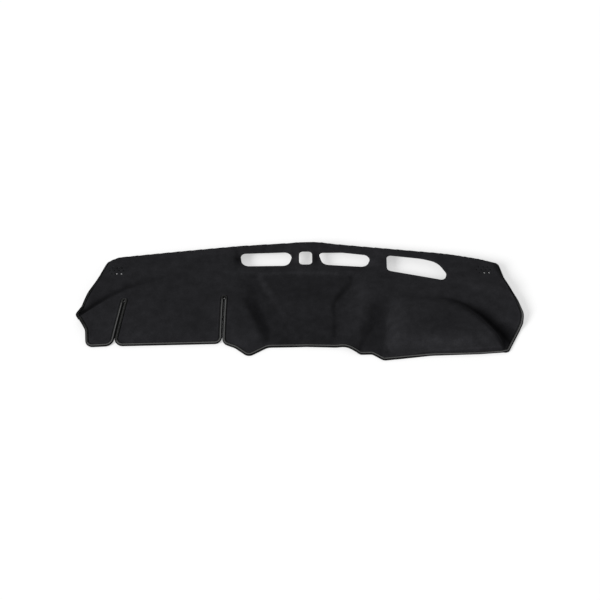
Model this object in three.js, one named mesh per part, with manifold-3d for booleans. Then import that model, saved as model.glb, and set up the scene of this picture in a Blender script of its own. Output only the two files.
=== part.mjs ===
// Moulded felt cover mat for the top of a car dashboard, for a car driven from the left.
// Millimetres. X runs across the car to the passenger, Y to the windscreen and Z up.
// The origin lies on the surface that the mat rests on, under the middle of its box.
// The felt is one moulded sheet with four openings, two slits and two groups of small
// holes, and its cut edge is held in one folded tape that runs all the way round.

import * as THREE from 'three';
import { mergeVertices } from 'three/addons/utils/BufferGeometryUtils.js';
import Module from 'manifold-3d';

const wasm = await Module();
wasm.setup();

// Felt and edge tape
const FELT_THICKNESS = 4;
const TAPE_THICKNESS = 1.8;
const TAPE_CLEARANCE = 0.3;
const TAPE_WIDTH = 7;
const SLIT_GAP = 2;
const EDGE_HEIGHT = TAPE_THICKNESS + TAPE_CLEARANCE;
const TAPE_REACH = TAPE_THICKNESS + TAPE_CLEARANCE;

// Outline, as corners: x, y and the radius that rounds the corner.
const REAR_EDGE = [
  [-628, 188, 45],
  [-400, 220, 400],
  [-200, 246, 300],
  [-40, 259, 200],
  [0, 264, 100],
  [60, 265, 120],
  [115, 255, 200],
  [480, 210, 500],
  [600, 182, 150],
  [650, 163, 42],
];
const RIGHT_END = [
  [661, 85, 60],
  [693, -15, 100],
  [704, -66, 60],
  [698, -97, 22],
  [640, -204, 12],
];
const PASSENGER_FRONT = [
  [549, -212, 400],
  [400, -218, 400],
  [256, -236, 20],
  [222, -212, 14],
  [184, -213, 30],
];
const CENTRE_FRONT = [
  [140, -187, 60],
  [0, -183, 400],
  [-100, -185, 40],
  [-158, -222, 20],
  [-200, -187, 50],
];
const RIGHT_SLIT = { foot: [-241, -172], top: [-241, -6], footRadius: 20 };
const LEFT_SLIT = { foot: [-578, -180], top: [-558, -14], footRadius: 24 };
const LEFT_END = [
  [-660, -184, 22],
  [-668, -125, 40],
  [-711, -52, 12],
  [-654, 75, 200],
];

// Openings over the windscreen vents, the sensor and the passenger's display.
const DRIVER_VENT = [
  [-198, 196, 16],
  [-20, 203, 24],
  [-38, 139, 26],
  [-190, 136, 28],
];
const SENSOR_SIZE = [43, 61];
const SENSOR_PLACE = [18.5, 171.5];
const SENSOR_RADIUS = 13;
const PASSENGER_VENT = [
  [60, 200, 12],
  [140, 201, 0],
  [238, 188, 24],
  [218, 133, 26],
  [75, 145, 26],
];
const DISPLAY_OPENING = [
  [286, 185, 14],
  [405, 168, 200],
  [452, 150, 60],
  [477, 98, 22],
  [468, 70, 18],
  [284, 114, 16],
];

// Small holes over the speakers at the two ends
const SPEAKER_PLACES = [[-596, 112], [599, 112]];
const SPEAKER_ROWS = [3, 4, 3];
const SPEAKER_HOLE = 4;
const SPEAKER_PITCH = 15;
const SPEAKER_SIDES = 8;

// Heights of the underside above the resting surface, and the widths over which they change
const SHELF_HEIGHT = 30;
const SHELF_FRONT = 30;
const FRONT_FALL = 213;
const FRONT_BEND = 1.5;
const LEFT_FALL = 45;
const REAR_SLOPE = 1.3;
const SIDE_SLOPE = 1;
const END_LIFT = {
  left: 22, leftFrom: -600, leftTip: -52, leftRise: 50,
  right: 19, rightFrom: 610, rightTip: -204,
  width: 60, rise: 90, rear: 196, rearWidth: 50, front: -184,
};
const CENTRE_LIFT = { rise: 11, left: -70, right: 215, width: 60 };
const HOOD = {
  rise: 9, side: 52, rearSide: 80, rearFrom: -30, rearRun: 130,
  back: 170, front: 50, left: 250,
  line: [[-214, 80], [-192, 0], [-160, -80], [-132, -150], [-95, -240]],
};
const SUNK_CENTRE = { depth: 11, back: 112, step: 24, right: 150, rightWidth: 70 };
const CENTRE_PANEL = {
  rise: 7, back: 92, left: -146, leftLean: 0.52, right: 186, rightLean: 0.62, rightKink: 110,
  step: 26, front: 0, frontFade: 80, frontLoss: 0.75,
};
const CENTRE_RIDGE = {
  rise: 8, side: 58, end: 0.6,
  line: [[140, -230], [180, -110], [225, -20], [268, 60], [300, 110]],
};
const PASSENGER_TROUGH = {
  depth: 22, pad: 36, centre: 80, start: 0.7,
  line: [[300, 40], [282, -40], [264, -120], [243, -250]],
};
const PASSENGER_PAD = {
  level: 44, left: 236, leftLean: 0.2, flank: 80, back: 70, backFall: 150, front: -224, frontFall: 70,
};
const RIGHT_VALLEY = {
  depth: 30, inner: 44, outer: 120, padFlank: 52, start: 380, startWidth: 140, fade: 1.3,
  line: [
    [664, -216], [655, -190], [636, -148], [612, -110], [572, -62], [533, -25], [503, -6], [460, 10],
    [340, 30],
  ],
};
const LEFT_VALLEY = {
  depth: 27, rear: 70, front: 26, fade: 1.2,
  line: [
    [-722, -66], [-683, -43], [-652, -21], [-612, 9], [-564, 38], [-509, 63], [-442, 83], [-330, 103],
  ],
};
const VENT_RECESS = { depth: 5, fade: 26, margin: 24 };
const REAR_RIGHT_STEP = {
  rise: 5, at: 60, lean: 0.35, from: 480, width: 40, start: 420, startWidth: 120,
};

// Fineness of the faceted surface
const GRID_STEP = 28;
const GRID_MARGIN = 18;
const REAR_ROWS = [-10, 4, 14, 27, 46, 70];
const ARC_STEP = 0.5;
const PATH_STEP = 90;
const PATH_TOLERANCE = 0.8;
const PATH_LEAST = 10;
const LINE_STEPS = 6;
const CORNER_SHARE = 0.49;
const LEAST_TURN = 0.02;
const ROUND_END_SLACK = 0.05;
const MOST_STRETCH = 1.5;
const MERGE_DISTANCE = 1e-5;

// Upright blocks that cut the sheet to its outline
const BLOCK_BELOW = 44;
const BLOCK_HEIGHT = 176;

const FELT_LOOK = { color: 0x212123, roughness: 0.95 };
const TAPE_LOOK = { color: 0x1b1b1c, roughness: 0.7 };

// Rounds each corner of a closed outline with an arc.
function roundedOutline(corners) {
  const points = [];
  corners.forEach(([x, y, radius], index) => {
    const corner = new THREE.Vector2(x, y);
    const before = new THREE.Vector2(...corners.at(index - 1).slice(0, 2));
    const after = new THREE.Vector2(...corners[(index + 1) % corners.length].slice(0, 2));
    const back = before.clone().sub(corner);
    const ahead = after.clone().sub(corner);
    const room = CORNER_SHARE * Math.min(back.length(), ahead.length());
    back.normalize();
    ahead.normalize();
    const opening = Math.acos(THREE.MathUtils.clamp(back.dot(ahead), -1, 1));
    const turn = Math.PI - opening;
    if (radius === 0 || turn < LEAST_TURN) {
      points.push(corner);
      return;
    }
    const run = Math.min(radius * Math.tan(turn / 2), room);
    const arcRadius = run / Math.tan(turn / 2);
    const centre = corner.clone().addScaledVector(
      back.clone().add(ahead).normalize(), arcRadius / Math.sin(opening / 2));
    const start = corner.clone().addScaledVector(back, run).sub(centre).angle();
    const end = corner.clone().addScaledVector(ahead, run).sub(centre).angle();
    const sweep = THREE.MathUtils.euclideanModulo(end - start + Math.PI, 2 * Math.PI) - Math.PI;
    const steps = Math.max(1, Math.ceil(Math.abs(sweep) / ARC_STEP));
    for (let step = 0; step <= steps; step += 1) {
      const angle = start + (sweep * step) / steps;
      const spoke = new THREE.Vector2(Math.cos(angle), Math.sin(angle));
      points.push(centre.clone().addScaledVector(spoke, arcRadius));
    }
  });
  return points;
}

// The felt's corners round one slit, from its foot on the right to its foot on the left.
function slitCorners({ foot, top, footRadius }) {
  const half = TAPE_REACH + SLIT_GAP / 2;
  const along = new THREE.Vector2(top[0] - foot[0], top[1] - foot[1]).normalize();
  const side = new THREE.Vector2(along.y, -along.x).multiplyScalar(half);
  return [
    [foot[0] + side.x, foot[1] + side.y, footRadius],
    [top[0] + side.x, top[1] + side.y, half - ROUND_END_SLACK],
    [top[0] - side.x, top[1] - side.y, half - ROUND_END_SLACK],
    [foot[0] - side.x, foot[1] - side.y, footRadius],
  ];
}

const frontRight = [...RIGHT_END, ...PASSENGER_FRONT, ...CENTRE_FRONT];
const outerCorners = [...REAR_EDGE, ...frontRight, ...LEFT_END];
const feltCorners = [
  ...REAR_EDGE,
  ...frontRight,
  ...slitCorners(RIGHT_SLIT),
  ...slitCorners(LEFT_SLIT),
  ...LEFT_END,
];
const feltOutline = roundedOutline(feltCorners).reverse();
const outerOutline = roundedOutline(outerCorners);

function sensorCorners() {
  const [x, y] = SENSOR_PLACE;
  const [width, depth] = SENSOR_SIZE;
  return [
    [x - width / 2, y + depth / 2, SENSOR_RADIUS],
    [x + width / 2, y + depth / 2, SENSOR_RADIUS],
    [x + width / 2, y - depth / 2, SENSOR_RADIUS],
    [x - width / 2, y - depth / 2, SENSOR_RADIUS],
  ];
}

// Rows of small holes on a staggered pitch round one speaker.
function speakerHoles([x, y]) {
  const holes = [];
  const rowPitch = SPEAKER_PITCH * Math.sqrt(0.75);
  SPEAKER_ROWS.forEach((count, row) => {
    for (let index = 0; index < count; index += 1) {
      const centreX = x + (index - (count - 1) / 2) * SPEAKER_PITCH;
      const centreY = y + ((SPEAKER_ROWS.length - 1) / 2 - row) * rowPitch;
      const hole = new THREE.Path().absarc(centreX, centreY, SPEAKER_HOLE / 2, 0, 2 * Math.PI);
      holes.push(hole.getPoints(SPEAKER_SIDES).slice(0, -1));
    }
  });
  return holes;
}

// Smooth step from 0 to 1 as t goes from 0 to 1
const smooth = (t) => THREE.MathUtils.smoothstep(t, 0, 1);

// A smooth curve through the points of a crease or ridge, as a polyline
function flowLine(points) {
  const curve = new THREE.CatmullRomCurve3(
    points.map(([x, y]) => new THREE.Vector3(x, y, 0)), false, 'catmullrom');
  return curve.getPoints(LINE_STEPS * (points.length - 1));
}

// Signed distance from a polyline, positive on its left, and the share of its length passed.
function beside(line, x, y) {
  let nearest = { distance: Infinity, side: 1, share: 0 };
  for (let index = 0; index < line.length - 1; index += 1) {
    const a = line[index];
    const b = line[index + 1];
    const dx = b.x - a.x;
    const dy = b.y - a.y;
    const t = THREE.MathUtils.clamp(((x - a.x) * dx + (y - a.y) * dy) / (dx * dx + dy * dy), 0, 1);
    const offX = x - a.x - t * dx;
    const offY = y - a.y - t * dy;
    const distance = Math.hypot(offX, offY);
    if (distance < nearest.distance) {
      const side = Math.sign(dx * offY - dy * offX) || 1;
      nearest = { distance, side, share: (index + t) / (line.length - 1) };
    }
  }
  return { distance: nearest.distance * nearest.side, share: nearest.share };
}

// 1 on a line, falling smoothly to 0 at the given widths on its left and right
function fadeFrom(distance, leftWidth, rightWidth) {
  return 1 - smooth(distance > 0 ? distance / leftWidth : -distance / rightWidth);
}

const hoodSide = flowLine(HOOD.line);
const centreRidge = flowLine(CENTRE_RIDGE.line);
const passengerTrough = flowLine(PASSENGER_TROUGH.line);
const rightValley = flowLine(RIGHT_VALLEY.line);
const leftValley = flowLine(LEFT_VALLEY.line);
const outerLine = [...outerOutline, outerOutline[0]];

// Height of the rear edge's corners at x, for the rows of the grid that follow it
function rearEdgeAt(x) {
  const last = REAR_EDGE.length - 1;
  let index = 0;
  while (index < last - 1 && x > REAR_EDGE[index + 1][0]) {
    index += 1;
  }
  const [x0, y0] = REAR_EDGE[index];
  const [x1, y1] = REAR_EDGE[index + 1];
  return y0 + ((y1 - y0) * (x - x0)) / (x1 - x0);
}

function shelfAndFalls(x, y) {
  const t = THREE.MathUtils.clamp((SHELF_FRONT - y) / FRONT_FALL, 0, 1);
  const front = t ** FRONT_BEND;
  const centre = CENTRE_LIFT.rise * t * smooth((x - CENTRE_LIFT.left) / CENTRE_LIFT.width)
    * smooth((CENTRE_LIFT.right - x) / CENTRE_LIFT.width);
  const base = EDGE_HEIGHT + (SHELF_HEIGHT - EDGE_HEIGHT) * (1 - front) + centre;
  const fromLeft = THREE.MathUtils.clamp((x - LEFT_END.at(-1)[0]) / LEFT_FALL, 0, 1);
  return EDGE_HEIGHT + (base - EDGE_HEIGHT) * (1 - (1 - fromLeft) ** 2);
}

function hoodAndCentre(x, y) {
  const { distance } = beside(hoodSide, x, y);
  const side = HOOD.side + HOOD.rearSide * smooth((y - HOOD.rearFrom) / HOOD.rearRun);
  const centreSide = smooth(distance / side);
  const hood = HOOD.rise * (1 - centreSide)
    * smooth((HOOD.line[0][1] - y) / HOOD.back)
    * smooth((y - RIGHT_SLIT.foot[1]) / HOOD.front)
    * smooth((x - LEFT_SLIT.foot[0]) / HOOD.left);
  const sunk = centreSide * smooth((SUNK_CENTRE.back - y) / SUNK_CENTRE.step)
    * (1 - smooth((x - SUNK_CENTRE.right) / SUNK_CENTRE.rightWidth));
  const below = CENTRE_PANEL.back - y;
  const panel = smooth((x - CENTRE_PANEL.left - below * CENTRE_PANEL.leftLean) / CENTRE_PANEL.step)
    * smooth((CENTRE_PANEL.right - Math.min(below, CENTRE_PANEL.rightKink) * CENTRE_PANEL.rightLean - x)
      / CENTRE_PANEL.step)
    * (1 - CENTRE_PANEL.frontLoss * smooth((CENTRE_PANEL.front - y) / CENTRE_PANEL.frontFade));
  return hood - SUNK_CENTRE.depth * sunk + CENTRE_PANEL.rise * panel * sunk;
}

function ridgeAndTrough(x, y) {
  const ridge = beside(centreRidge, x, y);
  const trough = beside(passengerTrough, x, y);
  return CENTRE_RIDGE.rise * fadeFrom(ridge.distance, CENTRE_RIDGE.side, CENTRE_RIDGE.side)
      * smooth((1 - ridge.share) / CENTRE_RIDGE.end)
    - PASSENGER_TROUGH.depth * smooth(trough.share / PASSENGER_TROUGH.start)
      * fadeFrom(trough.distance, PASSENGER_TROUGH.pad, PASSENGER_TROUGH.centre);
}

// The pad over the glove box keeps a high level where the sheet round it falls to the front.
function passengerPad(x, y, around) {
  const pad = PASSENGER_PAD;
  const valley = beside(rightValley, x, y);
  const left = pad.left + (y - pad.front) * pad.leftLean;
  const share = smooth((x - left) / pad.flank)
    * smooth((pad.back - y) / pad.backFall)
    * smooth((y - pad.front) / pad.frontFall)
    * smooth(valley.distance / RIGHT_VALLEY.padFlank);
  return (pad.level - around) * share;
}

function endValleys(x, y) {
  const right = beside(rightValley, x, y);
  const left = beside(leftValley, x, y);
  const rightDepth = RIGHT_VALLEY.depth * (1 - right.share) ** RIGHT_VALLEY.fade
    * smooth((x - RIGHT_VALLEY.start) / RIGHT_VALLEY.startWidth);
  const leftDepth = LEFT_VALLEY.depth * (1 - left.share) ** LEFT_VALLEY.fade;
  return -rightDepth * fadeFrom(right.distance, RIGHT_VALLEY.inner, RIGHT_VALLEY.outer)
    - leftDepth * fadeFrom(left.distance, LEFT_VALLEY.rear, LEFT_VALLEY.front);
}

// A shallow sunk field round one opening, faded over its margin
function recess(corners, x, y) {
  const xs = corners.map((corner) => corner[0]);
  const ys = corners.map((corner) => corner[1]);
  const { fade, margin, depth } = VENT_RECESS;
  return -depth
    * smooth((x - Math.min(...xs) + margin) / fade) * smooth((Math.max(...xs) + margin - x) / fade)
    * smooth((y - Math.min(...ys) + margin + fade / 2) / (2 * fade))
    * smooth((Math.max(...ys) + margin + fade / 2 - y) / (2 * fade));
}

function rearRightStep(x, y) {
  const step = REAR_RIGHT_STEP;
  const line = step.at - (x - step.from) * step.lean;
  return step.rise * smooth((y - line) / step.width) * smooth((x - step.start) / step.startWidth);
}

// The highest that the underside may lie this near the outer edge
function edgeLimit(x, y) {
  const inside = Math.abs(beside(outerLine, x, y).distance);
  const ends = END_LIFT;
  const fades = smooth((ends.rear - y) / ends.rearWidth) * smooth((y - ends.front) / ends.rise);
  const left = ends.left * fades
    * smooth((ends.leftFrom - x) / ends.width) * smooth(Math.abs(y - ends.leftTip) / ends.leftRise);
  const right = ends.right * fades
    * smooth((x - ends.rightFrom) / ends.width) * smooth((y - ends.rightTip) / ends.rise);
  const centre = CENTRE_LIFT.rise * smooth((x - CENTRE_LIFT.left) / CENTRE_LIFT.width)
    * smooth((CENTRE_LIFT.right - x) / CENTRE_LIFT.width) * smooth((SHELF_FRONT - y) / FRONT_FALL);
  const slope = y > SHELF_FRONT ? REAR_SLOPE : SIDE_SLOPE;
  return EDGE_HEIGHT + left + right + centre + slope * inside;
}

// Height of the felt's underside
function underside(x, y) {
  const field = shelfAndFalls(x, y) + hoodAndCentre(x, y) + ridgeAndTrough(x, y) + endValleys(x, y)
    + recess(DRIVER_VENT, x, y) + recess(PASSENGER_VENT, x, y) + rearRightStep(x, y);
  const relief = field + passengerPad(x, y, field);
  return Math.max(EDGE_HEIGHT, Math.min(relief, edgeLimit(x, y)));
}

// Grid of the moulded sheet: columns across the car, rows that follow the rear edge
function sheetGrid() {
  const xs = outerOutline.map((point) => point.x);
  const ys = outerOutline.map((point) => point.y);
  const left = Math.min(...xs) - GRID_MARGIN;
  const right = Math.max(...xs) + GRID_MARGIN;
  const front = Math.min(...ys) - GRID_MARGIN;
  const columns = Math.ceil((right - left) / GRID_STEP);
  const deepestRow = REAR_ROWS.at(-1);
  const span = Math.max(...ys) - deepestRow - front;
  const frontRows = Math.ceil(span / GRID_STEP);
  const grid = [];
  for (let column = 0; column <= columns; column += 1) {
    const x = left + ((right - left) * column) / columns;
    const rear = rearEdgeAt(x);
    const line = [];
    for (let row = 0; row < frontRows; row += 1) {
      line.push(new THREE.Vector3(x, front + ((rear - deepestRow - front) * row) / frontRows, 0));
    }
    [...REAR_ROWS].reverse().forEach((offset) => line.push(new THREE.Vector3(x, rear - offset, 0)));
    line.forEach((point) => {
      point.z = underside(point.x, point.y);
    });
    grid.push(line);
  }
  return grid;
}

const grid = sheetGrid();

// Slope of the grid's surface at one of its points, for an even wall
function wallStretch(column, row) {
  const west = grid[Math.max(column - 1, 0)][row];
  const east = grid[Math.min(column + 1, grid.length - 1)][row];
  const south = grid[column][Math.max(row - 1, 0)];
  const north = grid[column][Math.min(row + 1, grid[column].length - 1)];
  const slopeX = (east.z - west.z) / (east.x - west.x);
  const slopeY = (north.z - south.z) / (north.y - south.y);
  return Math.min(Math.hypot(1, slopeX, slopeY), MOST_STRETCH);
}

const stretch = grid.map((line, column) => line.map((_, row) => wallStretch(column, row)));

// A closed geometry from corner points and triangles
function closedGeometry(positions, triangles) {
  const geometry = new THREE.BufferGeometry();
  geometry.setAttribute('position', new THREE.Float32BufferAttribute(positions, 3));
  geometry.setIndex(triangles);
  return geometry;
}

// The moulded sheet as a slab that is grown by a clearance on both faces
function slab(clearance) {
  const rows = grid[0].length;
  const columns = grid.length;
  const positions = [];
  const triangles = [];
  const at = (column, row, layer) => (column * rows + row) * 2 + layer;
  grid.forEach((line, column) => line.forEach((point, row) => {
    const grown = clearance * stretch[column][row];
    positions.push(point.x, point.y, point.z - grown);
    positions.push(point.x, point.y, point.z + FELT_THICKNESS * stretch[column][row] + grown);
  }));
  const quad = (a, b, c, d) => triangles.push(a, b, c, a, c, d);
  for (let column = 0; column < columns - 1; column += 1) {
    for (let row = 0; row < rows - 1; row += 1) {
      const corners = [[column, row], [column + 1, row], [column + 1, row + 1], [column, row + 1]];
      const z = corners.map(([i, j]) => grid[i][j].z);
      const turned = Math.abs(z[1] - z[3]) < Math.abs(z[0] - z[2]) ? [1, 2, 3, 0] : [0, 1, 2, 3];
      const [a, b, c, d] = turned.map((index) => corners[index]);
      quad(at(...a, 1), at(...b, 1), at(...c, 1), at(...d, 1));
      quad(at(...a, 0), at(...d, 0), at(...c, 0), at(...b, 0));
    }
  }
  const rim = ([i, j], [k, l]) => quad(at(i, j, 0), at(k, l, 0), at(k, l, 1), at(i, j, 1));
  for (let column = 0; column < columns - 1; column += 1) {
    rim([column, 0], [column + 1, 0]);
    rim([column + 1, rows - 1], [column, rows - 1]);
  }
  for (let row = 0; row < rows - 1; row += 1) {
    rim([0, row + 1], [0, row]);
    rim([columns - 1, row], [columns - 1, row + 1]);
  }
  return closedGeometry(positions, triangles);
}

// A solid for cutting and joining, from a closed geometry
function toSolid(geometry) {
  const bare = geometry.clone();
  bare.deleteAttribute('normal');
  bare.deleteAttribute('uv');
  const merged = mergeVertices(bare, MERGE_DISTANCE);
  return new wasm.Manifold(new wasm.Mesh({
    numProp: 3,
    vertProperties: Float32Array.from(merged.attributes.position.array),
    triVerts: Uint32Array.from(merged.index.array),
  }));
}

function toGeometry(solid) {
  const mesh = solid.getMesh();
  const geometry = closedGeometry(Array.from(mesh.vertProperties), Array.from(mesh.triVerts));
  geometry.computeVertexNormals();
  return geometry;
}

// An upright block with a plan outline and openings
function block(outline, openings = []) {
  const shape = new THREE.Shape(outline);
  openings.forEach((points) => shape.holes.push(new THREE.Path(points)));
  const geometry = new THREE.ExtrudeGeometry(shape, { depth: BLOCK_HEIGHT, bevelEnabled: false });
  geometry.translate(0, 0, -BLOCK_BELOW);
  return toSolid(geometry);
}

// Outward direction in plan at each point of a closed outline that turns anticlockwise
function outwardDirections(points) {
  return points.map((point, index) => {
    const before = points.at(index - 1);
    const after = points[(index + 1) % points.length];
    const first = new THREE.Vector2(point.y - before.y, before.x - point.x).normalize();
    const second = new THREE.Vector2(after.y - point.y, point.x - after.x).normalize();
    const mean = first.clone().add(second);
    return mean.multiplyScalar(2 / mean.lengthSq());
  });
}

function grownOutline(points, distance) {
  const out = outwardDirections(points);
  return points.map((point, index) => point.clone().addScaledVector(out[index], distance));
}

// Height of the middle of the felt at any place, on the faceted sheet itself
function feltMiddle(x, y) {
  const first = grid[0][0].x;
  const step = (grid.at(-1)[0].x - first) / (grid.length - 1);
  const column = THREE.MathUtils.clamp(Math.floor((x - first) / step), 0, grid.length - 2);
  const across = (x - grid[column][0].x) / step;
  const mix = (row) => {
    const a = grid[column][row];
    const b = grid[column + 1][row];
    const half = FELT_THICKNESS / 2;
    const za = a.z + half * stretch[column][row];
    const zb = b.z + half * stretch[column + 1][row];
    return { y: a.y + (b.y - a.y) * across, z: za + (zb - za) * across };
  };
  let row = 0;
  while (row < grid[0].length - 2 && mix(row + 1).y < y) {
    row += 1;
  }
  const low = mix(row);
  const high = mix(row + 1);
  return low.z + ((high.z - low.z) * (y - low.y)) / (high.y - low.y);
}

// The outline with extra points wherever the sheet's edge bends up or down between its corners
function edgePath(points) {
  const path = [];
  const follow = (from, to) => {
    const middle = from.clone().lerp(to, 0.5);
    const quarter = from.clone().lerp(to, 0.25);
    const fromZ = feltMiddle(from.x, from.y);
    const toZ = feltMiddle(to.x, to.y);
    const bend = Math.abs(feltMiddle(middle.x, middle.y) - (fromZ + toZ) / 2);
    const early = Math.abs(feltMiddle(quarter.x, quarter.y) - THREE.MathUtils.lerp(fromZ, toZ, 0.25));
    const length = from.distanceTo(to);
    if (length > PATH_STEP || (length > PATH_LEAST && Math.max(bend, early) > PATH_TOLERANCE)) {
      follow(from, middle);
      follow(middle, to);
      return;
    }
    path.push(from.clone());
  };
  points.forEach((point, index) => follow(point, points[(index + 1) % points.length]));
  return path;
}

// Section of the folded tape: distance in from the felt's edge, and height from its middle
function tapeSection() {
  const half = FELT_THICKNESS / 2 + TAPE_CLEARANCE + TAPE_THICKNESS;
  const hem = FELT_THICKNESS / 2 + TAPE_CLEARANCE + TAPE_THICKNESS / 3;
  return [
    [TAPE_WIDTH, hem],
    [0, half],
    [-TAPE_REACH, half / 3],
    [-TAPE_REACH, -half / 3],
    [0, -half],
    [TAPE_WIDTH, -hem],
  ];
}

// The tape's outer form, swept along the felt's edge and tilted with the sheet
function tapeForm(path) {
  const section = tapeSection();
  const out = outwardDirections(path);
  const positions = [];
  const triangles = [];
  path.forEach((point, index) => {
    const inner = point.clone().addScaledVector(out[index], -TAPE_WIDTH);
    const edgeZ = feltMiddle(point.x, point.y);
    const innerZ = feltMiddle(inner.x, inner.y);
    const lean = (innerZ - edgeZ) / TAPE_WIDTH;
    const length = Math.hypot(1, lean);
    section.forEach(([along, up]) => {
      const reach = (along - up * lean) / length;
      positions.push(
        point.x - out[index].x * reach,
        point.y - out[index].y * reach,
        Math.max(0, edgeZ + (along * lean + up) / length),
      );
    });
  });
  const sides = section.length;
  path.forEach((_, index) => {
    const next = (index + 1) % path.length;
    for (let side = 0; side < sides; side += 1) {
      const up = (side + 1) % sides;
      const a = index * sides + side;
      const b = next * sides + side;
      const c = next * sides + up;
      const d = index * sides + up;
      triangles.push(a, c, b, a, d, c);
    }
  });
  return toSolid(closedGeometry(positions, triangles));
}

function moulded() {
  const openings = [DRIVER_VENT, sensorCorners(), PASSENGER_VENT, DISPLAY_OPENING].map(roundedOutline);
  const holes = SPEAKER_PLACES.flatMap(speakerHoles);
  return toSolid(slab(0)).intersect(block(feltOutline, [...openings, ...holes]));
}

function foldedTape() {
  const form = tapeForm(edgePath(feltOutline));
  const room = toSolid(slab(TAPE_CLEARANCE)).intersect(block(grownOutline(feltOutline, TAPE_CLEARANCE)));
  return form.subtract(room);
}

function part(name, solid, look) {
  const mesh = new THREE.Mesh(toGeometry(solid), new THREE.MeshStandardMaterial(look));
  mesh.name = name;
  return mesh;
}

const group = new THREE.Group();
group.add(part('felt_mat', moulded(), FELT_LOOK));
group.add(part('edge_binding', foldedTape(), TAPE_LOOK));

// The origin goes under the middle of the whole mat, on the resting surface.
const box = new THREE.Box3().setFromObject(group);
const middle = box.getCenter(new THREE.Vector3());
group.position.set(-middle.x, -middle.y, -box.min.z);

export default group;
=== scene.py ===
import math
from types import SimpleNamespace as Sizes

import bpy
import numpy as np
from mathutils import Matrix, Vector
from mathutils.geometry import delaunay_2d_cdt


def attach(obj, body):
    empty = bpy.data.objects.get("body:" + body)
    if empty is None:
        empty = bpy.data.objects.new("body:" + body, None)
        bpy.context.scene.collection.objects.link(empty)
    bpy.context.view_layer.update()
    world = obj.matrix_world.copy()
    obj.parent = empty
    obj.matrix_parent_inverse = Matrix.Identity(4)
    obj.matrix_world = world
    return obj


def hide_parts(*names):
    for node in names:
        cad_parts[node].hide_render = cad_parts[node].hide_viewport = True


# Moulded felt cover mat for the top of a car dashboard, with a folded edge tape.
# The plan and the relief are given in millimetres about the mat's own datum. Everything made
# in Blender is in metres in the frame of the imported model.
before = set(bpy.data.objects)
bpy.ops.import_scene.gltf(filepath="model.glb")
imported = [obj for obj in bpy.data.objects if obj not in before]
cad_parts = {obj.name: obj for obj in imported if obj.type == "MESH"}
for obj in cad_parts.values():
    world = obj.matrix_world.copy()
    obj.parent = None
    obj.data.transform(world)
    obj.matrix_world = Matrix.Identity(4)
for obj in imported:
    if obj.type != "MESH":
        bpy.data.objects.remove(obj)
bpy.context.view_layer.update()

MM = 0.001
DATUM = (3.87, -15.00)

# Felt, tape and stitches
FELT_THICKNESS = 4.0
TAPE_THICKNESS = 1.8
TAPE_CLEARANCE = 0.3
TAPE_WIDTH = 7.0
SLIT_GAP = 2.0
TAPE_REACH = TAPE_THICKNESS + TAPE_CLEARANCE
EDGE_HEIGHT = TAPE_REACH
MOST_STRETCH = 1.5

# Corners of the outline: x, y and the radius that rounds each
REAR_EDGE = [
    (-628, 188, 45), (-400, 220, 400), (-200, 246, 300), (-40, 259, 200), (0, 264, 100),
    (60, 265, 120), (115, 255, 200), (480, 210, 500), (600, 182, 150), (650, 163, 42),
]
RIGHT_END = [(661, 85, 60), (693, -15, 100), (704, -66, 60), (698, -97, 22), (640, -204, 12)]
PASSENGER_FRONT = [
    (549, -212, 400), (400, -218, 400), (256, -236, 20), (222, -212, 14), (184, -213, 30),
]
CENTRE_FRONT = [
    (140, -187, 60), (0, -183, 400), (-100, -185, 40), (-158, -222, 20), (-200, -187, 50),
]
RIGHT_SLIT = ((-241, -172), (-241, -6), 20)
LEFT_SLIT = ((-578, -180), (-558, -14), 24)
LEFT_END = [(-660, -184, 22), (-668, -125, 40), (-711, -52, 12), (-654, 75, 200)]

# Openings over the windscreen vents, the sensor and the passenger's display
DRIVER_VENT = [(-198, 196, 16), (-20, 203, 24), (-38, 139, 26), (-190, 136, 28)]
SENSOR = [(-3, 202, 13), (40, 202, 13), (40, 141, 13), (-3, 141, 13)]
PASSENGER_VENT = [(60, 200, 12), (140, 201, 0), (238, 188, 24), (218, 133, 26), (75, 145, 26)]
DISPLAY = [
    (286, 185, 14), (405, 168, 200), (452, 150, 60), (477, 98, 22), (468, 70, 18), (284, 114, 16),
]
OPENINGS = [DRIVER_VENT, SENSOR, PASSENGER_VENT, DISPLAY]

SPEAKERS = [(-596, 112), (599, 112)]
SPEAKER_ROWS = (3, 4, 3)
SPEAKER_HOLE = 4.0
SPEAKER_PITCH = 15.0
SPEAKER_SIDES = 12

# Row and places of the holes that have worn wider, and how much wider they are
WORN_HOLES = (2, (1, 2), 1.6)

# Spacing of the mesh, fineness of arcs and the rings of points that follow each cut edge
FELT_STEP = 5.5
EDGE_STEP = 4.0
ARC_STEP = 0.3
COARSE_ARC = 0.5
FELT_RINGS = (1.5, 4.0, 5.6, 6.6, 7.6, 8.8, 10.4, 12.4, 15.0)
OPENING_RINGS = (0.8, 1.8, 3.4, 6.0)
OPENING_ARC = 2.5
OPENING_STEP = 3.0
RING_MARGIN = 2.0
RING_SLACK = 0.97
HOLE_MARGIN = 1.6
LEAST_MITRE = 0.4
ROW_SHARE = math.sqrt(0.75)

# Camera: metres, degrees of elevation, and millimetres of lens and sensor
CAMERA_TARGET = (0.0039, -0.0150, 0.015)
CAMERA_DISTANCE = 3.2
CAMERA_ELEVATION = 48
CAMERA_LENS = 60
CAMERA_SENSOR = 36


def place_camera():
    elevation = math.radians(CAMERA_ELEVATION)
    back = Vector((0, -math.cos(elevation), math.sin(elevation)))
    data = bpy.data.cameras.new("camera")
    data.lens = CAMERA_LENS
    data.sensor_width = CAMERA_SENSOR
    camera = bpy.data.objects.new("camera", data)
    bpy.context.scene.collection.objects.link(camera)
    camera.location = Vector(CAMERA_TARGET) + CAMERA_DISTANCE * back
    camera.rotation_euler = (math.pi / 2 - elevation, 0, 0)
    bpy.context.scene.camera = camera


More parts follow.
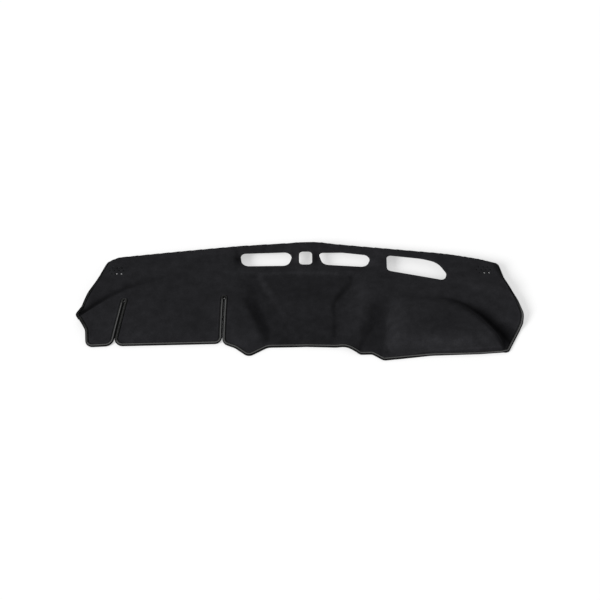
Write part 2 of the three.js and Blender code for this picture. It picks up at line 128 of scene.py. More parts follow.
def rounded(corners, arc_step, longest=None):
    """Closed outline through rounded corners, as an array of points."""
    points = []
    count = len(corners)
    for index, (x, y, radius) in enumerate(corners):
        corner = np.array((x, y), float)
        back = np.array(corners[index - 1][:2], float) - corner
        ahead = np.array(corners[(index + 1) % count][:2], float) - corner
        room = 0.49 * min(np.hypot(*back), np.hypot(*ahead))
        back /= np.hypot(*back)
        ahead /= np.hypot(*ahead)
        opening = math.acos(max(-1.0, min(1.0, float(back @ ahead))))
        turn = math.pi - opening
        if radius == 0 or turn < 0.02:
            points.append(corner)
            continue
        run = min(radius * math.tan(turn / 2), room)
        arc = run / math.tan(turn / 2)
        middle = back + ahead
        centre = corner + middle / np.hypot(*middle) * arc / math.sin(opening / 2)
        first = corner + back * run - centre
        last = corner + ahead * run - centre
        start = math.atan2(first[1], first[0])
        sweep = (math.atan2(last[1], last[0]) - start + math.pi) % (2 * math.pi) - math.pi
        step = arc_step if longest is None else min(arc_step, longest / arc)
        steps = max(1, math.ceil(abs(sweep) / step))
        for k in range(steps + 1):
            angle = start + sweep * k / steps
            points.append(centre + arc * np.array((math.cos(angle), math.sin(angle))))
    return np.array(points)


def divided(points, step):
    """The closed outline with no side longer than the step."""
    out = []
    for a, b in zip(points, np.roll(points, -1, axis=0)):
        length = np.hypot(*(b - a))
        if length < 1e-6:
            continue
        parts = max(1, math.ceil(length / step))
        out.extend(a + (b - a) * k / parts for k in range(parts))
    return np.array(out)


def anticlockwise(points):
    x, y = points.T
    area = np.sum(x * np.roll(y, -1) - np.roll(x, -1) * y)
    return points if area > 0 else points[::-1]


def slit_corners(slit):
    foot, top, radius = slit
    half = TAPE_REACH + SLIT_GAP / 2
    along = np.subtract(top, foot) / np.hypot(*np.subtract(top, foot))
    side = np.array((along[1], -along[0])) * half
    return [
        (foot[0] + side[0], foot[1] + side[1], radius),
        (top[0] + side[0], top[1] + side[1], half - 0.05),
        (top[0] - side[0], top[1] - side[1], half - 0.05),
        (foot[0] - side[0], foot[1] - side[1], radius),
    ]


front_right = RIGHT_END + PASSENGER_FRONT + CENTRE_FRONT
outer_corners = REAR_EDGE + front_right + LEFT_END
slits = slit_corners(RIGHT_SLIT) + slit_corners(LEFT_SLIT)
felt_corners = REAR_EDGE + front_right + slits + LEFT_END
outer_line = rounded(outer_corners, COARSE_ARC)
felt_edge = divided(anticlockwise(rounded(felt_corners, ARC_STEP, EDGE_STEP)), EDGE_STEP)
opening_edges = [
    divided(anticlockwise(rounded(corners, ARC_STEP, OPENING_ARC)), OPENING_STEP)
    for corners in OPENINGS]


def speaker_holes():
    """Outlines of the small holes. Those that have worn wider let light through."""
    worn_row, worn_places, worn_growth = WORN_HOLES
    turn = np.arange(SPEAKER_SIDES) * 2 * math.pi / SPEAKER_SIDES
    ring = SPEAKER_HOLE / 2 * np.stack((np.cos(turn), np.sin(turn)), axis=1)
    row_pitch = SPEAKER_PITCH * ROW_SHARE
    holes = []
    for x, y in SPEAKERS:
        for row, count in enumerate(SPEAKER_ROWS):
            for index in range(count):
                place = (x + (index - (count - 1) / 2) * SPEAKER_PITCH, y + (1 - row) * row_pitch)
                wear_and_highlight = row == worn_row and index in worn_places
                holes.append((worn_growth if wear_and_highlight else 1.0) * ring + place)
    return holes


# Relief of the underside


def smooth(t):
    t = np.clip(t, 0, 1)
    return t * t * (3 - 2 * t)


def flow_line(points, steps=10):
    """Smooth curve through the points of a crease or ridge."""
    p = np.array(points, float)
    p = np.vstack((2 * p[0] - p[1], p, 2 * p[-1] - p[-2]))
    out = []
    for a, b, c, d in zip(p, p[1:], p[2:], p[3:]):
        for k in range(steps):
            t = k / steps
            out.append(
                b * (2 * t**3 - 3 * t**2 + 1) + (c - a) / 2 * (t**3 - 2 * t**2 + t)
                + c * (3 * t**2 - 2 * t**3) + (d - b) / 2 * (t**3 - t**2)
            )
    return np.array(out + [p[-2]])


def beside(line, x, y):
    """Signed distance from a line, positive on its left, and the share of it that is passed."""
    best = np.full(x.shape, np.inf)
    side = np.ones(x.shape)
    share = np.zeros(x.shape)
    for index, (a, b) in enumerate(zip(line, line[1:])):
        dx, dy = b - a
        t = np.clip(((x - a[0]) * dx + (y - a[1]) * dy) / (dx * dx + dy * dy), 0, 1)
        off_x = x - a[0] - t * dx
        off_y = y - a[1] - t * dy
        distance = np.hypot(off_x, off_y)
        near = distance < best
        best = np.where(near, distance, best)
        side = np.where(near, np.where(dx * off_y - dy * off_x < 0, -1.0, 1.0), side)
        share = np.where(near, (index + t) / (len(line) - 1), share)
    return best * side, share


def rising(value, start, run):
    return smooth((value - start) / run)


def falling(value, start, run):
    return smooth((start - value) / run)


def bell(distance, width):
    return np.exp(-(distance / width) ** 2)


def fade_from(distance, left_width, right_width):
    """Full on a line, and fading out over a width on its left and another on its right."""
    return 1 - smooth(np.where(distance > 0, distance / left_width, -distance / right_width))


hood_side = flow_line([(-214, 80), (-192, 0), (-160, -80), (-132, -150), (-95, -240)])
centre_ridge = flow_line([(140, -230), (180, -110), (225, -20), (268, 60), (300, 110)])
passenger_trough = flow_line([(300, 40), (282, -40), (264, -120), (243, -250)])
right_valley = flow_line([
    (664, -216), (655, -190), (636, -148), (612, -110), (572, -62), (533, -25), (503, -6),
    (460, 10), (340, 30)])
valley_floor = flow_line([
    (664, -216), (655, -190), (636, -148), (612, -110), (572, -65), (533, -35), (503, -22),
    (460, -14), (340, -4)])
left_valley = flow_line([
    (-722, -66), (-683, -43), (-652, -21), (-612, 9), (-564, 38), (-509, 63), (-442, 83),
    (-330, 103)])

# Heights, places and widths of the relief's forms
SHELF = Sizes(height=30, rear=30, run=213, power=1.5, left=-711, left_run=45)
CENTRE_LIFT = Sizes(rise=11, left=-70, right=215, width=60)
HOOD = Sizes(
    rise=9, side=52, rear_side=80, rear=-30, rear_run=130, back=80, back_run=170, front=-172,
    front_run=50, left=-578, left_run=250)
SUNK_CENTRE = Sizes(depth=11, back=112, step=24, right=150, right_run=70)
PANEL = Sizes(
    rise=7, back=92, left=-146, left_lean=0.52, right=186, right_lean=0.62, kink=110, step=26,
    front_run=80, front_loss=0.75)
RIDGE = Sizes(rise=8, side=58, end=0.6)
TROUGH = Sizes(depth=22, pad_side=36, centre_side=80, start=0.7)
PAD = Sizes(
    level=44, left=236, lean=0.2, flank=80, back=70, back_run=150, front=-224, front_run=70,
    valley=52)
RIGHT_VALLEY = Sizes(depth=30, power=1.3, start=380, run=140, inner=44, outer=120)
LEFT_VALLEY = Sizes(depth=27, power=1.2, rear=70, front=26)
RECESS = Sizes(depth=5, margin=24, run=26, deep_margin=37, deep_run=52)
END_LIFT = Sizes(
    left=22, left_from=-600, left_tip=-52, left_rise=50,
    right=19, right_from=610, right_tip=-204, right_rise=90,
    width=60, rear=196, rear_run=50, front=-184, front_run=90)
EDGE_SLOPE = Sizes(rear=1.3, front=1.0)
REAR_STEP = Sizes(rise=5, at=60, lean=0.35, middle=480, run=40, start=420, start_run=120)
SLOPE_PROBE = 1.5


def centre_lift(x, y):
    """How high the centre is lifted at its front, and how far down the fall a place lies."""
    lift = CENTRE_LIFT
    return (lift.rise * rising(x, lift.left, lift.width) * falling(x, lift.right, lift.width),
            (SHELF.rear - y) / SHELF.run)


def sunk_share(x, y, side):
    """How far a place lies in the sunk centre, 0 to 1."""
    return (smooth(beside(hood_side, x, y)[0] / side)
            * falling(y, SUNK_CENTRE.back, SUNK_CENTRE.step)
            * (1 - rising(x, SUNK_CENTRE.right, SUNK_CENTRE.right_run)))


def shelf_and_falls(x, y):
    lift, fall = centre_lift(x, y)
    t = np.clip(fall, 0, 1)
    base = EDGE_HEIGHT + (SHELF.height - EDGE_HEIGHT) * (1 - t**SHELF.power) + lift * t
    from_left = np.clip((x - SHELF.left) / SHELF.left_run, 0, 1)
    return EDGE_HEIGHT + (base - EDGE_HEIGHT) * (1 - (1 - from_left) ** 2)


def hood_and_centre(x, y):
    side = HOOD.side + HOOD.rear_side * rising(y, HOOD.rear, HOOD.rear_run)
    centre_side = smooth(beside(hood_side, x, y)[0] / side)
    hood = (HOOD.rise * (1 - centre_side) * falling(y, HOOD.back, HOOD.back_run)
            * rising(y, HOOD.front, HOOD.front_run) * rising(x, HOOD.left, HOOD.left_run))
    sunk = sunk_share(x, y, side)
    below = PANEL.back - y
    right = PANEL.right - PANEL.right_lean * np.minimum(below, PANEL.kink)
    panel = (rising(x, PANEL.left + PANEL.left_lean * below, PANEL.step)
             * falling(x, right, PANEL.step)
             * (1 - PANEL.front_loss * smooth(-y / PANEL.front_run)))
    return hood - SUNK_CENTRE.depth * sunk + PANEL.rise * panel * sunk


def ridge_and_trough(x, y):
    ridge, ridge_share = beside(centre_ridge, x, y)
    trough, trough_share = beside(passenger_trough, x, y)
    return (RIDGE.rise * fade_from(ridge, RIDGE.side, RIDGE.side)
            * smooth((1 - ridge_share) / RIDGE.end)
            - TROUGH.depth * smooth(trough_share / TROUGH.start)
            * fade_from(trough, TROUGH.pad_side, TROUGH.centre_side))


def passenger_pad(x, y, around, valley):
    """The pad keeps its level where the sheet round it falls to the front."""
    share = (rising(x, PAD.left + PAD.lean * (y - PAD.front), PAD.flank)
             * falling(y, PAD.back, PAD.back_run) * rising(y, PAD.front, PAD.front_run)
             * smooth(valley / PAD.valley))
    return (PAD.level - around) * share


def recess(corners, x, y):
    """A shallow sunk field round an opening."""
    xs, ys = [c[0] for c in corners], [c[1] for c in corners]
    return (-RECESS.depth
            * rising(x, min(xs) - RECESS.margin, RECESS.run)
            * falling(x, max(xs) + RECESS.margin, RECESS.run)
            * rising(y, min(ys) - RECESS.deep_margin, RECESS.deep_run)
            * falling(y, max(ys) + RECESS.deep_margin, RECESS.deep_run))


def edge_limit(x, y):
    """Greatest height beside the outer edge, with the lifted tips of both ends."""
    inside = np.abs(beside(np.vstack((outer_line, outer_line[:1])), x, y)[0])
    end = END_LIFT
    ends = falling(y, end.rear, end.rear_run) * rising(y, end.front, end.front_run)
    left = (end.left * falling(x, end.left_from, end.width)
            * smooth(np.abs(y - end.left_tip) / end.left_rise) * ends)
    right = (end.right * rising(x, end.right_from, end.width)
             * rising(y, end.right_tip, end.right_rise) * ends)
    lift, fall = centre_lift(x, y)
    slope = np.where(y > SHELF.rear, EDGE_SLOPE.rear, EDGE_SLOPE.front)
    return EDGE_HEIGHT + left + right + lift * smooth(fall) + slope * inside


def underside(x, y):
    """Height of the felt's underside."""
    valley, valley_share = beside(right_valley, x, y)
    crease, crease_share = beside(left_valley, x, y)
    field = shelf_and_falls(x, y) + hood_and_centre(x, y) + ridge_and_trough(x, y)
    field = field - (
        RIGHT_VALLEY.depth * (1 - valley_share) ** RIGHT_VALLEY.power
        * rising(x, RIGHT_VALLEY.start, RIGHT_VALLEY.run)
        * fade_from(valley, RIGHT_VALLEY.inner, RIGHT_VALLEY.outer))
    field = field - (
        LEFT_VALLEY.depth * (1 - crease_share) ** LEFT_VALLEY.power
        * fade_from(crease, LEFT_VALLEY.rear, LEFT_VALLEY.front))
    field = field + recess(DRIVER_VENT, x, y) + recess(PASSENGER_VENT, x, y)
    step_line = REAR_STEP.at - REAR_STEP.lean * (x - REAR_STEP.middle)
    field = field + (
        REAR_STEP.rise * rising(y, step_line, REAR_STEP.run)
        * rising(x, REAR_STEP.start, REAR_STEP.start_run))
    relief = field + passenger_pad(x, y, field, valley)
    return np.maximum(EDGE_HEIGHT, np.minimum(relief, edge_limit(x, y)))


def sheet_at(x, y):
    """Height of the underside, and how much the slope stretches the wall."""
    z = underside(x, y)
    slope_x = (underside(x + SLOPE_PROBE, y) - z) / SLOPE_PROBE
    slope_y = (underside(x, y + SLOPE_PROBE) - z) / SLOPE_PROBE
    return z, np.minimum(np.sqrt(1 + slope_x**2 + slope_y**2), MOST_STRETCH)


def to_metres(x, y, z):
    return np.stack((x + DATUM[0], y + DATUM[1], z), axis=1) * MM


# Mesh of the felt


def outward(points):
    """Outward directions of an outline that turns anticlockwise."""
    before = points - np.roll(points, 1, axis=0)
    after = np.roll(points, -1, axis=0) - points
    normals = []
    for step in (before, after):
        normal = np.stack((step[:, 1], -step[:, 0]), axis=1)
        normals.append(normal / np.hypot(*normal.T)[:, None])
    mean = normals[0] + normals[1]
    return mean * (2 / np.maximum(np.sum(mean**2, axis=1), LEAST_MITRE))[:, None]


def loop_distance(points, loops):
    """Distance of each point from the nearest of some closed loops."""
    best = np.full(len(points), np.inf)
    for loop in loops:
        for a, b in zip(loop, np.roll(loop, -1, axis=0)):
            d = b - a
            t = np.clip((points - a) @ d / (d @ d), 0, 1)
            best = np.minimum(best, np.hypot(*(points - a - t[:, None] * d).T))
    return best


def within(points, loop):
    x, y = points.T
    inside = np.zeros(len(points), bool)
    for (ax, ay), (bx, by) in zip(loop, np.roll(loop, -1, axis=0)):
        if ay == by:
            continue
        crosses = (ay > y) != (by > y)
        inside ^= crosses & (x < ax + (bx - ax) * (y - ay) / (by - ay))
    return inside


def ring_points(loop, distances, others, sign):
    """Rows of points beside a cut edge, without those that crowd another edge."""
    rows = []
    for distance in distances:
        row = loop + sign * distance * outward(loop)
        clear = loop_distance(row, [loop]) > RING_SLACK * distance
        if others:
            clear &= loop_distance(row, others) > RING_MARGIN
        rows.append(row[clear])
    return np.vstack(rows)


def felt_points():
    holes = speaker_holes()
    loops = [felt_edge, *opening_edges, *holes]
    rings = [ring_points(felt_edge, FELT_RINGS, None, -1)]
    for index, loop in enumerate(opening_edges):
        others = [edge for k, edge in enumerate(opening_edges) if k != index] + [felt_edge]
        rings.append(ring_points(loop, OPENING_RINGS, others, 1))
    low, high = felt_edge.min(axis=0), felt_edge.max(axis=0)
    rows = np.arange(low[1], high[1], FELT_STEP * ROW_SHARE)
    grid = np.array([
        (x, y) for index, y in enumerate(rows)
        for x in np.arange(low[0] + (index % 2) * FELT_STEP / 2, high[0], FELT_STEP)])
    grid = grid[within(grid, felt_edge)]
    grid = grid[loop_distance(grid, [felt_edge]) > FELT_RINGS[-1] + RING_MARGIN]
    grid = grid[loop_distance(grid, opening_edges) > OPENING_RINGS[-1] + RING_MARGIN]
    grid = grid[loop_distance(grid, holes) > HOLE_MARGIN]
    for loop in opening_edges:
        grid = grid[~within(grid, loop)]
    for loop in holes:
        grid = grid[~within(grid, loop)]
    return loops, np.vstack(loops + rings + [grid])


def triangulated(loops, points):
    edges = []
    start = 0
    for loop in loops:
        count = len(loop)
        edges.extend((start + k, start + (k + 1) % count) for k in range(count))
        start += count
    found = delaunay_2d_cdt([Vector(p) for p in points], edges, [], 0, 1e-4)
    places = np.array([tuple(v) for v in found[0]])
    faces = np.array([f for f in found[2] if len(f) == 3])
    middles = places[faces].mean(axis=1)
    keep = within(middles, loops[0])
    for loop in loops[1:]:
        keep &= ~within(middles, loop)
    return places, faces[keep]


# The felt's face under the tape, along the seam and at the cuts, and its slight unevenness
PRESSED = Sizes(depth=0.9, at=5.6, run=1.2)
GROOVE = Sizes(depth=0.8, at=7.0, width=1.1)
LIP = Sizes(rise=0.5, at=10.4, width=1.8)
CUT_ROUND = Sizes(top=1.1, top_run=3.2, bottom=0.5, bottom_run=2.0)
WAVE = Sizes(height=0.22, clear=12, run=25)


def felt_surface(places):
    """Heights of the felt's two faces, pressed under the tape and rounded at each cut."""
    x, y = places.T
    base, stretch = sheet_at(x, y)
    edge = loop_distance(places, [felt_edge])
    cut = loop_distance(places, opening_edges)
    top = base + FELT_THICKNESS * stretch
    top -= PRESSED.depth * (1 - rising(edge, PRESSED.at, PRESSED.run))
    top -= GROOVE.depth * bell(edge - GROOVE.at, GROOVE.width)
    top += LIP.rise * bell(edge - LIP.at, LIP.width)
    top -= CUT_ROUND.top * (1 - smooth(cut / CUT_ROUND.top_run)) ** 2
    bottom = base + CUT_ROUND.bottom * (1 - smooth(cut / CUT_ROUND.bottom_run))
    wave = (np.sin(x / 31 + 1.3 * np.sin(y / 47)) * np.sin(y / 26 + 0.7 * np.sin(x / 53))
            + 0.6 * np.sin(x / 13.7 + y / 17.1) * np.sin(y / 11.9 - x / 23.0))
    lift = WAVE.height * wave * rising(np.minimum(edge, cut), WAVE.clear, WAVE.run)
    return top + lift, bottom + lift


# Painted shade in the creases, the sunk centre, the trough and beside the seam, and a painted
# highlight along the lip: how strong and over what widths
CREASE_PAINTED_SHADE = Sizes(dark=0.9, power=1.1, off=3, width=11, haze=0.2, rear=44, front=16)
VALLEY_PAINTED_SHADOW = Sizes(
    dark=0.7, sharp=1, width=20, widening=90, power=2.5, pad_dark=0.48, pad_width=50, core=0.5,
    core_width=9)
CENTRE_PAINTED_SHADE = 0.14
TROUGH_PAINTED_SHADE = Sizes(dark=0.18, start=0.6, pad_side=6, centre_side=84)
SEAM_PAINTED_SHADOW = Sizes(front=0.08, right=0.65, left=0.15, at=7.6, width=1.5)
LIP_PAINTED_HIGHLIGHT = Sizes(light=0.16, at=11.2, width=1.8)

# Lines and spots of painted light and shade along the relief's edges and at the ends of the vents:
# width or spread, and the change in tone
PAINTED_SHADING_LINES = [
    (flow_line([(-138, 98), (-20, 104), (60, 102), (140, 98)]), 5, 0.16),
    (flow_line([(-134, 88), (-110, 30), (-78, -26)]), 12, 0.16),
    (flow_line([(160, 92), (166, 66), (140, 26), (108, -26), (107, -90), (107, -150)]), 6, -0.26),
    (flow_line([(-180, -6), (-143, -84), (-110, -150), (-102, -168)]), 11, -0.2),
    (flow_line([(372, -186), (440, -186), (530, -182)]), 9, 0.22),
    (flow_line([(469, 64), (540, 50), (604, 16)]), 12, 0.08),
]
PAINTED_SHADING_SPOTS = [
    (-204, 166, 13, 20, -0.6), (52, 168, 9, 18, -0.45), (230, 152, 12, 20, 0.4),
    (-11, 170, 7, 16, 0.3), (-520, -152, 24, 14, 0.25), (-186, -172, 34, 26, 0.2),
    (285, -150, 42, 60, 0.14), (440, -196, 90, 20, 0.1), (450, -110, 70, 40, -0.08),
    (215, -150, 30, 60, -0.1), (-380, -70, 170, 110, -0.1), (0, -120, 110, 60, -0.1),
    (60, -10, 130, 40, -0.05),
]


def away_from_edge(places):
    """Distance from the felt's edge, and how far the nearest edge lies to the left or right."""
    best = np.full(len(places), np.inf)
    across = np.zeros(len(places))
    for a, b in zip(felt_edge, np.roll(felt_edge, -1, axis=0)):
        d = b - a
        t = np.clip((places - a) @ d / (d @ d), 0, 1)
        off = places - a - t[:, None] * d
        distance = np.hypot(*off.T)
        near = distance < best
        best = np.where(near, distance, best)
        across = np.where(near, off[:, 0] / np.maximum(distance, 0.1), across)
    return best, across


def crease_painted_shade(x, y):
    """Painted shade in the crease of the left end, and the painted shadow that the pad casts into the
    valley of the right end.
    """
    crease, crease_share = beside(left_valley, x, y)
    painted_shading = CREASE_PAINTED_SHADE
    tone = 1 - painted_shading.dark * (1 - crease_share) ** painted_shading.power * bell(crease - painted_shading.off, painted_shading.width)
    tone *= 1 - painted_shading.haze * (1 - crease_share) * fade_from(crease, painted_shading.rear, painted_shading.front)
    valley, valley_share = beside(valley_floor, x, y)
    painted_shading = VALLEY_PAINTED_SHADOW
    depth = np.sqrt(1 - valley_share) * rising(x, RIGHT_VALLEY.start, RIGHT_VALLEY.run)
    wide = painted_shading.width + painted_shading.widening * (1 - valley_share) ** painted_shading.power
    end_side = painted_shading.dark * fade_from(valley, painted_shading.sharp, wide) * (valley <= 0)
    pad_side = painted_shading.pad_dark * fade_from(valley, painted_shading.pad_width, painted_shading.sharp) * (valley > 0)
    tone *= 1 - depth * (end_side + pad_side)
    return tone * (1 - painted_shading.core * depth * bell(valley, painted_shading.core_width))


def painted_shading_tone(places):
    """Painted light and shade on the felt: painted shade in the creases, the valley, the sunk centre,
    the trough and beside the seam, painted light on the flanks and along the lip.
    """
    x, y = places.T
    edge, across = away_from_edge(places)
    trough, trough_share = beside(passenger_trough, x, y)
    tone = crease_painted_shade(x, y)
    # Painted shade over the sunk centre and in the passenger trough.
    tone *= 1 - CENTRE_PAINTED_SHADE * sunk_share(x, y, HOOD.side)
    tone *= 1 - (TROUGH_PAINTED_SHADE.dark * smooth(trough_share / TROUGH_PAINTED_SHADE.start)
                 * fade_from(trough, TROUGH_PAINTED_SHADE.pad_side, TROUGH_PAINTED_SHADE.centre_side))
    for line, width, change in PAINTED_SHADING_LINES:
        away, share = beside(line, x, y)
        tone *= 1 + change * bell(away, width) * (share > 0) * (share < 1)
    for middle_x, middle_y, wide, deep, change in PAINTED_SHADING_SPOTS:
        tone *= 1 + change * bell(x - middle_x, wide) * bell(y - middle_y, deep)
    # Painted shadow beside the tape, darkest where the felt lies to the right of the edge, and a
    # painted highlight along the lip.
    seam = (SEAM_PAINTED_SHADOW.front + SEAM_PAINTED_SHADOW.right * np.maximum(across, 0)
            + SEAM_PAINTED_SHADOW.left * np.maximum(-across, 0))
    tone *= 1 - seam * bell(edge - SEAM_PAINTED_SHADOW.at, SEAM_PAINTED_SHADOW.width)
    tone *= 1 + LIP_PAINTED_HIGHLIGHT.light * bell(edge - LIP_PAINTED_HIGHLIGHT.at, LIP_PAINTED_HIGHLIGHT.width)
    return tone


def mesh_object(name, verts, faces, materials=()):
    mesh = bpy.data.meshes.new(name)
    mesh.from_pydata([tuple(v) for v in verts], [], [tuple(int(i) for i in f) for f in faces])
    mesh.validate()
    mesh.update()
    mesh.polygons.foreach_set("use_smooth", [True] * len(mesh.polygons))
    for material in materials:
        mesh.materials.append(material)
    made = bpy.data.objects.new(name, mesh)
    bpy.context.scene.collection.objects.link(made)
    return made


def make_felt(material):
    loops, points = felt_points()
    places, faces = triangulated(loops, points)
    used = np.unique(faces)
    renumber = np.full(len(places), -1)
    renumber[used] = np.arange(len(used))
    places, faces = places[used], renumber[faces]
    a, b, c = (places[faces[:, k]] for k in range(3))
    ab, ac = b - a, c - a
    turned = ab[:, 0] * ac[:, 1] - ab[:, 1] * ac[:, 0] < 0
    faces[turned] = faces[turned][:, ::-1]
    top, bottom = felt_surface(places)
    count = len(places)
    verts = np.vstack((to_metres(*places.T, top), to_metres(*places.T, bottom)))
    sides = {}
    for face in faces:
        for k in range(3):
            sides[(face[k], face[(k + 1) % 3])] = True
    walls = [(a + count, b + count, b, a) for a, b in sides if (b, a) not in sides]
    solid = [*map(tuple, faces), *(tuple(f[::-1] + count) for f in faces), *walls]
    made = mesh_object("moulded_felt", verts, solid, [material])
    # Painted light and shade, kept on the top face as a factor of the felt's colour; the underside is
    # left even.
    tone = made.data.attributes.new("painted_shading", "FLOAT", "POINT")
    tone.data.foreach_set("value", np.concatenate((painted_shading_tone(places), np.ones(count))))
    return made


# Edge tape


def tape_profile():
    """Section of the tape: distance in from the felt's edge and height from its middle."""
    outer = [
        (6.6, 1.5), (6.5, 2.3), (6.1, 3.1), (5.3, 3.8), (4.2, 4.3), (2.9, 4.5), (1.6, 4.45),
        (0.3, 4.0), (-0.8, 3.2), (-1.6, 2.1), (-2.1, 0.7),
    ]
    inner = [(6.4, 1.3), (4.0, 1.8), (0.2, 1.9), (-0.4, 1.2)]
    lower_outer = [(x, -z) for x, z in reversed(outer)]
    lower_inner = [(x, -z) for x, z in inner]
    return np.array(outer + lower_outer + lower_inner + inner[::-1], float)


def tape_frame():
    """Path of the felt's edge with its height and the lean of the sheet there."""
    out = outward(felt_edge)
    inner = felt_edge - out * TAPE_WIDTH
    z, stretch = sheet_at(*felt_edge.T)
    inner_z, inner_stretch = sheet_at(*inner.T)
    edge_z = z + FELT_THICKNESS / 2 * stretch
    lean = (inner_z + FELT_THICKNESS / 2 * inner_stretch - edge_z) / TAPE_WIDTH
    for _ in range(2):
        lean = (np.roll(lean, 1) + 2 * lean + np.roll(lean, -1)) / 4
    return out, edge_z, lean


# The tape beside the slits, and the highlight painted along its crest
SLIT_NEAR = Sizes(width=9, foot=0.02, run=0.1, top=1.05, bulge_end=0.97, bulge=0.42)
LEAST_HEIGHT = 0.15
FRONT_HIGHLIGHT = Sizes(left=-690, rear=60, run=40)
LEFT_HIGHLIGHT = Sizes(loss=0.9, start=-590, run=50, front=-70, front_run=40)
RIGHT_HIGHLIGHT = Sizes(show=0.85, start=610, run=40, rear=160, front=-215, front_run=20)
SLIT_HIGHLIGHT = Sizes(
    top=0.9, top_run=0.08, far_loss=0.6, near_loss=0.7, near_top=0.86, near_run=0.1)
CREST_HIGHLIGHT = Sizes(at=2.4, width=1.5, above=1.6, least=0.1, share=0.52)


def slit_side(slit):
    """Nearness of each edge point to a slit, 0 to 1, the side it is on and how far up the slit."""
    foot, top, _ = slit
    x, y = felt_edge.T
    up = (y - foot[1]) / (top[1] - foot[1])
    side = x - foot[0] - up * (top[0] - foot[0])
    beside_slit = (np.abs(side) < SLIT_NEAR.width) & (up < SLIT_NEAR.top)
    return beside_slit * rising(up, SLIT_NEAR.foot, SLIT_NEAR.run), np.sign(side), up


def slit_bulge():
    """How far the tape bulges at each edge point, so that the two sides of a slit all but touch."""
    near = 0
    for slit in (RIGHT_SLIT, LEFT_SLIT):
        nearness, _, up = slit_side(slit)
        near = near + nearness * (up < SLIT_NEAR.bulge_end)
    return 1 + SLIT_NEAR.bulge * near


def tape_place(out, edge_z, lean, along, up):
    """The line that one point of the tape's section draws along the felt's edge."""
    if along < 0:
        along = along * slit_bulge()
    length = np.sqrt(1 + lean**2)
    reach = (along - up * lean) / length
    x = felt_edge[:, 0] - out[:, 0] * reach
    y = felt_edge[:, 1] - out[:, 1] * reach
    z = np.maximum(LEAST_HEIGHT, edge_z + (along * lean + up) / length)
    return to_metres(x, y, z)


def tape_painted_highlight(profile):
    """How strong the painted highlight along the tape's crest is: along the front edges, the slits
    and the right end.
    """
    x, y = felt_edge.T
    left_rear = (LEFT_HIGHLIGHT.loss * falling(x, LEFT_HIGHLIGHT.start, LEFT_HIGHLIGHT.run)
                 * rising(y, LEFT_HIGHLIGHT.front, LEFT_HIGHLIGHT.front_run))
    front = (rising(x, FRONT_HIGHLIGHT.left, FRONT_HIGHLIGHT.run)
             * falling(y, FRONT_HIGHLIGHT.rear, FRONT_HIGHLIGHT.run) * (1 - left_rear))
    right = (RIGHT_HIGHLIGHT.show * rising(x, RIGHT_HIGHLIGHT.start, RIGHT_HIGHLIGHT.run)
             * falling(y, RIGHT_HIGHLIGHT.rear, RIGHT_HIGHLIGHT.run)
             * rising(y, RIGHT_HIGHLIGHT.front, RIGHT_HIGHLIGHT.front_run))
    ends = np.maximum(front, right)
    near, _, up_slit = slit_side(RIGHT_SLIT)
    ends = ends * (1 - near * rising(up_slit, SLIT_HIGHLIGHT.top, SLIT_HIGHLIGHT.top_run))
    near, side, up_slit = slit_side(LEFT_SLIT)
    near_loss = SLIT_HIGHLIGHT.near_loss * rising(up_slit, SLIT_HIGHLIGHT.near_top, SLIT_HIGHLIGHT.near_run)
    ends = ends * (1 - near * np.where(side > 0, SLIT_HIGHLIGHT.far_loss, near_loss))
    rows = []
    for along, up in profile:
        top = bell(along - CREST_HIGHLIGHT.at, CREST_HIGHLIGHT.width) if up > CREST_HIGHLIGHT.above else 0.0
        rows.append(top * (CREST_HIGHLIGHT.least + CREST_HIGHLIGHT.share * ends))
    return np.array(rows)


def make_tape(material):
    out, edge_z, lean = tape_frame()
    profile = tape_profile()
    rings = [tape_place(out, edge_z, lean, along, up) for along, up in profile]
    count = len(felt_edge)
    verts = np.vstack(rings)
    sides = len(profile)
    faces = []
    uvs = []
    steps = np.hypot(*(np.roll(felt_edge, -1, axis=0) - felt_edge).T)
    run = np.concatenate(([0], np.cumsum(steps))) * MM
    profile_steps = np.hypot(*np.diff(profile, axis=0, append=profile[:1]).T)
    across = np.concatenate(([0], np.cumsum(profile_steps))) * MM
    for side in range(sides):
        up = (side + 1) % sides
        for k in range(count):
            ahead = (k + 1) % count
            faces.append((side * count + k, up * count + k,
                          up * count + ahead, side * count + ahead))
            uvs.extend(((run[k], across[side]), (run[k], across[side + 1]),
                        (run[k + 1], across[side + 1]), (run[k + 1], across[side])))
    made = mesh_object("binding_tape", verts, faces, [material])
    # Painted highlight along the tape's crest, as a share added to its tone.
    painted_highlight = made.data.attributes.new("painted_highlight", "FLOAT", "POINT")
    painted_highlight.data.foreach_set("value", tape_painted_highlight(profile).ravel())
    layer = made.data.uv_layers.new(name="tape")
    layer.data.foreach_set("uv", np.array(uvs, float).ravel())
    return made


# Materials, with the pitch of the tape's ribs and rows in metres


RIB_PITCH = 0.0022
ROW_PITCH = 0.0026


def material_nodes(name):
    material = bpy.data.materials.new(name)
    material.use_nodes = True
    nodes = material.node_tree.nodes
    shader = nodes["Principled BSDF"]
    return material, nodes, material.node_tree.links, shader


def noise(nodes, links, source, scale, detail, roughness=0.5):
    node = nodes.new("ShaderNodeTexNoise")
    node.inputs["Scale"].default_value = scale
    node.inputs["Detail"].default_value = detail
    node.inputs["Roughness"].default_value = roughness
    links.new(source, node.inputs["Vector"])
    return node.outputs["Fac"]


def maths(nodes, links, operation, a, b):
    node = nodes.new("ShaderNodeMath")
    node.operation = operation
    for socket, value in zip(node.inputs, (a, b)):
        if isinstance(value, (int, float)):
            socket.default_value = value
        else:
            links.new(value, socket)
    return node.outputs[0]


